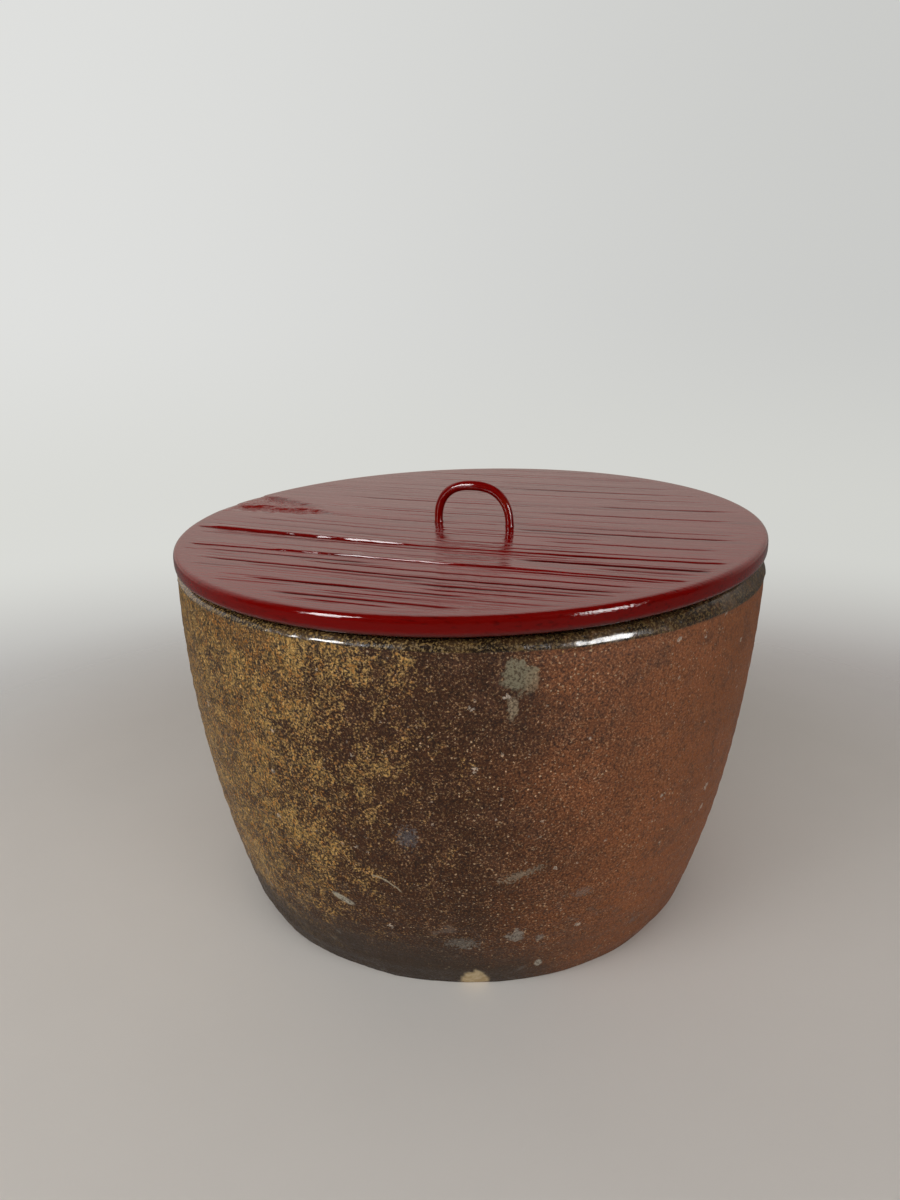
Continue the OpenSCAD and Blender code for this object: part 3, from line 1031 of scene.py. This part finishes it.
def handle_material():
    """The same lacquer on a smooth rod, a little browner where it is thin."""
    s = bpy.context.scene.lid_settings
    material, g, shader = new_material("red_lacquer_on_rod")
    where = g.add("TexCoord").outputs["Object"]
    film = use_group(g, "brushed lacquer", {"Vector": where, "Turn": 0.4, "Dust": 4 * MM})
    worn = g.range(g.noise(where, 5 * MM, 3.0), 0.45, 0.7)
    tint = g.blend(g.times(worn, 0.5), s.lacquer, (0.25, 0.018, 0.005))
    tint = g.over(tint, (0.35, 0.10, 0.06), film["Dust"], 0.4)
    g.feed(shader.inputs["Base Color"], tint)
    g.feed(shader.inputs["Roughness"], g.range(film["Shade"], 0.3, 0.7, 0.08, 0.13))
    g.feed(shader.inputs["Normal"], g.bumps(film["Height"], 0.12 * MM, 0.5))
    shader.inputs["IOR"].default_value = 1.37
    return material


# ---------------------------------------------------------------- stage


def floor_material():
    """Pale paper that fades out far from the jar, so that no horizon shows."""
    s = bpy.context.scene.stage_settings
    material, g, shader = new_material("pale_floor")
    where = g.add("TexCoord").outputs["Object"]
    mottle = g.noise(where, 45 * MM, 4.0)
    pale = tuple(s.floor)
    dim = tuple(c * 0.96 for c in pale)
    tint = g.blend(mottle, dim, pale)
    scuff = g.range(g.noise(g.stretch(where, 6, 1, 1, 0.9), 2.5 * MM, 3.0), 0.70, 0.78)
    tint = g.over(tint, (0.8, 0.8, 0.8), scuff, 0.12)
    g.feed(shader.inputs["Base Color"], tint)
    shader.inputs["Roughness"].default_value = 0.75
    g.feed(shader.inputs["Normal"], g.bumps(g.noise(where, 1.2 * MM, 3.0), 0.1 * MM, 0.25))
    x, y, _ = g.add("SeparateXYZ", {"Vector": where}).outputs
    clear = g.add("BsdfTransparent")
    mix = g.add("MixShader")
    g.feed(mix.inputs[0], g.range(g.hypot(x, y), 0.20, 0.40))
    material.node_tree.links.new(shader.outputs[0], mix.inputs[1])
    material.node_tree.links.new(clear.outputs[0], mix.inputs[2])
    out = [n for n in material.node_tree.nodes if n.type == "OUTPUT_MATERIAL"][0]
    material.node_tree.links.new(mix.outputs[0], out.inputs["Surface"])
    return material


def build_floor():
    """A wide disc under the jar."""
    angle = ring_angles(96)
    radii = np.array([0.02, 0.1, 0.2, 0.3, 0.45, 0.7])[:, None] * np.ones_like(angle)
    points = round_the_jar(radii, radii * 0 - 0.02 * MM, np.broadcast_to(angle, radii.shape))
    mesh = grid_mesh("floor", points, True, caps=((0, (0, 0, -0.02 * MM)),))
    floor = bpy.data.objects.new("floor", mesh)
    bpy.context.scene.collection.objects.link(floor)
    mesh.materials.append(floor_material())


def build_world():
    """A pale backdrop for the eye, and for reflections a room that is bright only behind the jar."""
    world = bpy.data.worlds.new("room")
    bpy.context.scene.world = world
    world.use_nodes = True
    world.node_tree.nodes.clear()
    g = Graph(world.node_tree)
    x, y, z = g.add("SeparateXYZ", {"Vector": g.add("TexCoord").outputs["Generated"]}).outputs
    side = g.range(x, -0.5, 0.5, 0.0, 1.0)
    upper = g.blend(side, (0.745, 0.750, 0.735), (0.585, 0.590, 0.575))
    lower = g.blend(side, (0.70, 0.705, 0.675), (0.64, 0.645, 0.615))
    seen = g.blend(g.range(z, -0.22, -0.02), lower, upper)
    floor_like = g.blend(side, (0.475, 0.464, 0.448), (0.372, 0.348, 0.334))
    seen = g.over(seen, floor_like, g.range(z, -0.25, -0.365))
    behind = g.range(y, -0.15, 0.55)
    high = g.range(z, 0.655, 0.77)
    wall = g.blend(g.range(z, 0.15, 0.36), (0.60, 0.525, 0.475), (0.92, 0.85, 0.785))
    wall = g.over(wall, (0.06, 0.055, 0.05), high)
    wall = g.blend(1.0, wall, g.range(x, -0.1, 0.45, 1.0, 0.85), "MULTIPLY")
    room = g.blend(behind, (0.02, 0.02, 0.02), wall)
    room = g.over(room, (0.17, 0.165, 0.155), g.range(z, -0.05, -0.15))
    path = g.add("LightPath")
    eye = g.add("Background", {"Color": seen})
    rest = g.add("Background", {"Color": room})
    mix = g.add("MixShader")
    out = g.add("OutputWorld")
    links = world.node_tree.links
    links.new(path.outputs["Is Camera Ray"], mix.inputs[0])
    links.new(rest.outputs[0], mix.inputs[1])
    links.new(eye.outputs[0], mix.inputs[2])
    links.new(mix.outputs[0], out.inputs["Surface"])


def add_lamp(name, around, up, distance, size, power, gleam=False):
    """A rectangular lamp at an angle round from the front and an angle up. A gleam shows in gloss only, and
    any other lamp in everything but gloss."""
    light = bpy.data.lights.new(name, "AREA")
    light.shape = "RECTANGLE"
    light.size, light.size_y = size
    light.energy = power
    lamp = bpy.data.objects.new(name, light)
    around, up = math.radians(around), math.radians(up)
    back = Vector((math.sin(around) * math.cos(up), -math.cos(around) * math.cos(up), math.sin(up)))
    lamp.location = Vector((0, -0.05, 0.13)) + back * distance
    lamp.rotation_euler = back.to_track_quat("Z", "Y").to_euler()
    lamp.visible_camera = False
    lamp.visible_diffuse = not gleam
    lamp.visible_glossy = gleam
    bpy.context.scene.collection.objects.link(lamp)


def add_camera():
    s = bpy.context.scene.stage_settings
    data = bpy.data.cameras.new("camera")
    data.sensor_width = 36
    data.lens = s.camera_lens
    data.clip_start = 0.01
    camera = bpy.data.objects.new("camera", data)
    bpy.context.scene.collection.objects.link(camera)
    look = Matrix.Rotation(math.pi / 2 - s.camera_pitch, 4, "X") @ Matrix.Rotation(s.camera_roll, 4, "Z")
    camera.matrix_world = Matrix.Translation((s.camera_side, -s.camera_back, s.camera_up)) @ look
    bpy.context.scene.camera = camera


# ---------------------------------------------------------------- operators, panel and registration


class JAR_OT_stage(bpy.types.Operator):
    """Makes the camera, the lamps, the room and the floor"""

    bl_idname = "water_jar.stage"
    bl_label = "Stage"

    def execute(self, context):
        s = context.scene.stage_settings
        context.scene.view_settings.view_transform = "Standard"
        add_camera()
        add_lamp("key", -8, 42, 1.3, (2.2, 0.9), s.key)
        add_lamp("side", -55, 27, 0.9, (0.5, 0.5), s.side)
        add_lamp("fill", 49, 27, 0.9, (0.5, 0.5), s.fill)
        add_lamp("gleam_left", -54.7, 23.5, 0.9, (0.23, 0.40), s.gleam_left, gleam=True)
        add_lamp("gleam_right", 47, 11.5, 0.9, (0.26, 0.36), s.gleam_right, gleam=True)
        build_world()
        build_floor()
        return {"FINISHED"}


class JAR_OT_patterns(bpy.types.Operator):
    """Makes the node groups that the materials share"""

    bl_idname = "water_jar.patterns"
    bl_label = "Surface patterns"

    def execute(self, context):
        make_patch_group()
        make_grit_group()
        make_lacquer_group()
        return {"FINISHED"}


class JAR_OT_jar(bpy.types.Operator):
    """Makes the stoneware jar"""

    bl_idname = "water_jar.jar"
    bl_label = "Jar"

    def execute(self, context):
        build_jar(jar_material())
        return {"FINISHED"}


class JAR_OT_lid(bpy.types.Operator):
    """Makes the lacquered wooden lid"""

    bl_idname = "water_jar.lid"
    bl_label = "Lid"

    def execute(self, context):
        build_lid(lid_material())
        return {"FINISHED"}


class JAR_OT_handle(bpy.types.Operator):
    """Makes the lid's loop handle"""

    bl_idname = "water_jar.handle"
    bl_label = "Handle"

    def execute(self, context):
        build_handle(handle_material())
        return {"FINISHED"}


class JAR_PT_panel(bpy.types.Panel):
    bl_label = "Water Jar"
    bl_idname = "JAR_PT_panel"
    bl_space_type = "VIEW_3D"
    bl_region_type = "UI"
    bl_category = "Water Jar"

    def draw(self, context):
        for settings, operators in STEPS:
            box = self.layout.box()
            if settings:
                group = getattr(context.scene, settings)
                for key in group.bl_rna.properties.keys():
                    if key not in ("rna_type", "name"):
                        box.prop(group, key)
            for operator in operators:
                box.operator(operator)


STEPS = (
    ("stage_settings", ("water_jar.stage",)),
    (None, ("water_jar.patterns",)),
    ("jar_settings", ("water_jar.jar",)),
    ("lid_settings", ("water_jar.lid",)),
    ("handle_settings", ("water_jar.handle",)),
)
SETTINGS = {
    "stage_settings": StageSettings,
    "jar_settings": JarSettings,
    "lid_settings": LidSettings,
    "handle_settings": HandleSettings,
}
OPERATORS = (JAR_OT_stage, JAR_OT_patterns, JAR_OT_jar, JAR_OT_lid, JAR_OT_handle)
CLASSES = (*SETTINGS.values(), *OPERATORS, JAR_PT_panel)


def register():
    for cls in CLASSES:
        bpy.utils.register_class(cls)
    for key, cls in SETTINGS.items():
        setattr(bpy.types.Scene, key, bpy.props.PointerProperty(type=cls))


def unregister():
    for key in SETTINGS:
        delattr(bpy.types.Scene, key)
    for cls in reversed(CLASSES):
        bpy.utils.unregister_class(cls)


def main():
    register()
    bpy.ops.water_jar.stage()
    bpy.ops.water_jar.patterns()
    bpy.ops.water_jar.jar()
    bpy.ops.water_jar.lid()
    bpy.ops.water_jar.handle()


if __name__ == "__main__":
    main()
